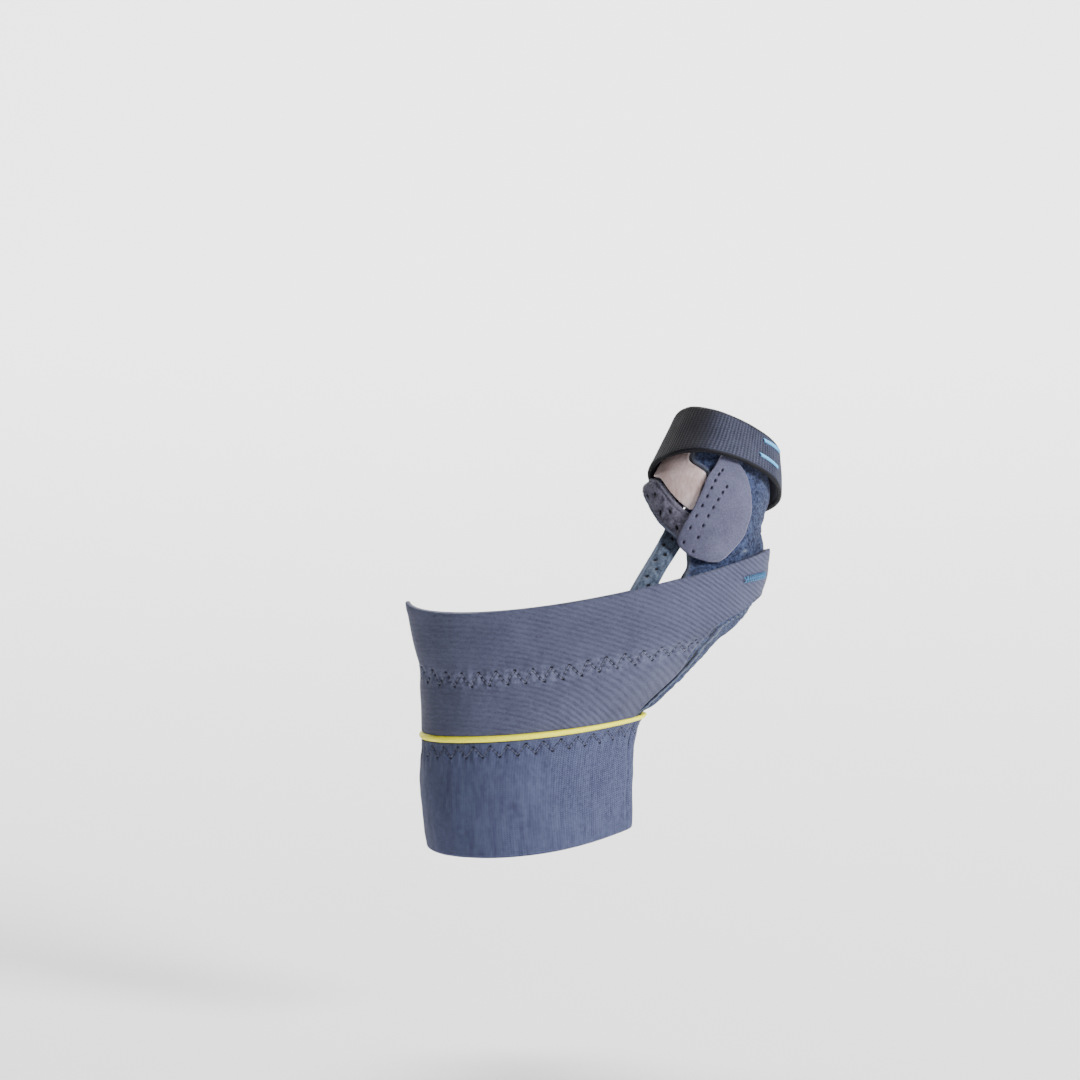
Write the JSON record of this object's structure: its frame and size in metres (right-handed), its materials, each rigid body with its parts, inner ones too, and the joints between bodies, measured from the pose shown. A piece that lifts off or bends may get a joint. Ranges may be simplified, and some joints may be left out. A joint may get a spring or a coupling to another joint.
{
  "type": "thumb spica splint",
  "caption": "Soft thumb spica splint for a right hand: wrist cuff, elastic palm strap, padded thumb saddle, webbing thumb ring and hook tab, held in its worn form.",
  "frame": {"origin": "middle of the wrist opening, half way up the cuff, where the wrist passes through", "axes": "+Z along the wrist towards the hand, +X towards the thumb, +Y from the palm towards the back of the hand"},
  "size_m": [0.1128, 0.0528, 0.1316],
  "materials": {
    "cuff_elastic": "fine navy woven elastic, matt",
    "piping_cord": "lemon yellow braided elastic cord",
    "strap_elastic": "grey violet ribbed elastic, matt",
    "loop_pile": "blue grey brushed loop pile, mottled",
    "padded_binding": "padded knit with zigzag stitching, dark blue grey",
    "stay_metal": "satin, rolled grain",
    "tab_microfibre": "grey violet microfibre with a smooth sealed edge",
    "ring_webbing": "dark navy ribbed webbing with a slight sheen"
  },
  "bodies": {
    "root": {"wrist_cuff": "cuff_elastic", "cuff_piping": "piping_cord", "palm_strap": "strap_elastic", "thumb_saddle": "loop_pile", "thenar_band": "padded_binding", "web_band": "padded_binding", "stay_plate": "stay_metal", "strap_tab": "tab_microfibre", "thumb_ring": "ring_webbing"}
  },
  "joints": []
}
